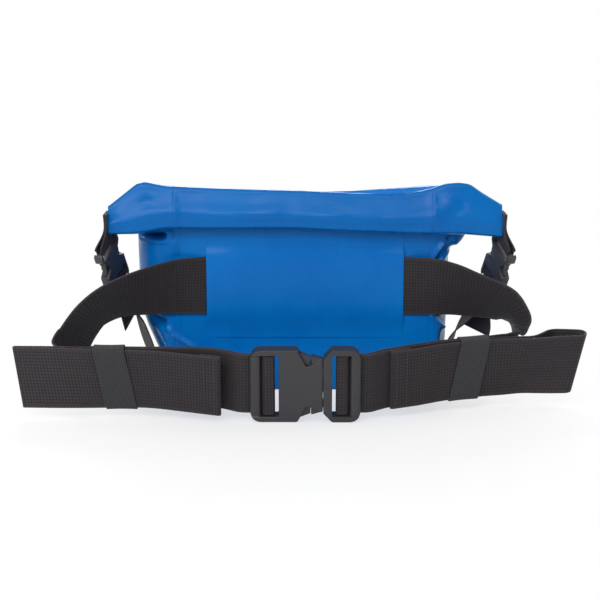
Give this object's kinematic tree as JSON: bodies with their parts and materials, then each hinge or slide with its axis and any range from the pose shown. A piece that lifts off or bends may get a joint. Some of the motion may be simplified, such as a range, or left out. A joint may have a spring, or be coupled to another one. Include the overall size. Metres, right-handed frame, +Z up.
{
  "type": "dry bag",
  "caption": "Roll-top dry bag of coated fabric worn on the waist: flat back, swelling sides, rolled mouth clipped down at its ends, and a wide webbing belt with a side-release buckle.",
  "frame": {"origin": "centre of the base panel, on the floor", "axes": "+X to the right along the rolled mouth as seen from the back, +Y from the belt side towards the bag, +Z up"},
  "size_m": [0.4627, 0.1986, 0.1821],
  "materials": {
    "vinyl": "soft coated fabric with a satin gloss",
    "webbing": "woven nylon webbing",
    "elastic": "knitted elastic",
    "buckle": "moulded plastic with a fine grain",
    "stiffener": "plain plastic strip"
  },
  "bodies": {
    "bag": {"back_panel": "vinyl", "front_panel": "vinyl", "left_gusset": "vinyl", "right_gusset": "vinyl", "base_panel": "vinyl", "roll_top": "vinyl", "mouth_stiffener": "stiffener", "belt_sleeve": "vinyl", "belt_centre": "webbing", "left_belt_lead": "webbing", "right_belt_lead": "webbing", "left_belt_run": "webbing", "waist_female": "buckle", "left_tab": "webbing", "right_tab": "webbing", "left_closure_male": "buckle", "right_closure_male": "buckle", "left_closure_strap": "webbing", "right_closure_strap": "webbing"},
    "waist_male": {"waist_male": "buckle", "right_belt_run": "webbing"},
    "waist_upper_arm": {"waist_upper_arm": "buckle"},
    "waist_lower_arm": {"waist_lower_arm": "buckle"},
    "left_keeper": {"left_keeper": "elastic"},
    "right_keeper": {"right_keeper": "elastic"},
    "left_closure_female": {"left_closure_female": "buckle"},
    "right_closure_female": {"right_closure_female": "buckle"},
    "left_closure_near_arm": {"left_closure_near_arm": "buckle"},
    "left_closure_far_arm": {"left_closure_far_arm": "buckle"},
    "right_closure_near_arm": {"right_closure_near_arm": "buckle"},
    "right_closure_far_arm": {"right_closure_far_arm": "buckle"}
  },
  "joints": [
    {"name": "waist_release", "type": "slide", "parent": "bag", "child": "waist_male", "axis": [1, 0, 0], "range_m": [0, 0.05], "deforming": ["right_belt_lead", "waist_upper_arm", "waist_lower_arm"]},
    {"name": "waist_upper_press", "type": "hinge", "parent": "waist_male", "child": "waist_upper_arm", "pos_m": [0.0175, -0.13685, 0.04682], "axis": [0, -0.9945, -0.1045], "range_deg": [0, 14], "stiffness_Nm_per_rad": 0.8},
    {"name": "waist_lower_press", "type": "hinge", "parent": "waist_male", "child": "waist_lower_arm", "pos_m": [0.0175, -0.13353, 0.0152], "axis": [0, 0.9945, 0.1045], "range_deg": [0, 14], "stiffness_Nm_per_rad": 0.8},
    {"name": "left_keeper_slide", "type": "slide", "parent": "bag", "child": "left_keeper", "axis": [1, 0, 0], "range_m": [0, 0.008]},
    {"name": "right_keeper_slide", "type": "slide", "parent": "waist_male", "child": "right_keeper", "axis": [-0.969, -0.2456, -0.0258], "range_m": [0, 0.006]},
    {"name": "left_closure_release", "type": "slide", "parent": "bag", "child": "left_closure_female", "axis": [0.1908, 0.4456, -0.8746], "range_m": [0, 0.017], "deforming": ["left_closure_strap", "left_closure_near_arm", "left_closure_far_arm"]},
    {"name": "left_closure_near_press", "type": "hinge", "parent": "bag", "child": "left_closure_near_arm", "pos_m": [-0.169, -0.0581, 0.11837], "axis": [0.9436, -0.3289, 0.0383], "range_deg": [0, 14], "stiffness_Nm_per_rad": 0.15},
    {"name": "left_closure_far_press", "type": "hinge", "parent": "bag", "child": "left_closure_far_arm", "pos_m": [-0.16406, -0.0429, 0.12718], "axis": [-0.9436, 0.3289, -0.0383], "range_deg": [0, 14], "stiffness_Nm_per_rad": 0.15},
    {"name": "right_closure_release", "type": "slide", "parent": "bag", "child": "right_closure_female", "axis": [-0.1908, 0.4456, -0.8746], "range_m": [0, 0.017], "deforming": ["right_closure_strap", "right_closure_near_arm", "right_closure_far_arm"]},
    {"name": "right_closure_near_press", "type": "hinge", "parent": "bag", "child": "right_closure_near_arm", "pos_m": [0.169, -0.0581, 0.11837], "axis": [0.9436, 0.3289, -0.0383], "range_deg": [0, 14], "stiffness_Nm_per_rad": 0.15},
    {"name": "right_closure_far_press", "type": "hinge", "parent": "bag", "child": "right_closure_far_arm", "pos_m": [0.16406, -0.0429, 0.12718], "axis": [-0.9436, -0.3289, 0.0383], "range_deg": [0, 14], "stiffness_Nm_per_rad": 0.15}
  ]
}
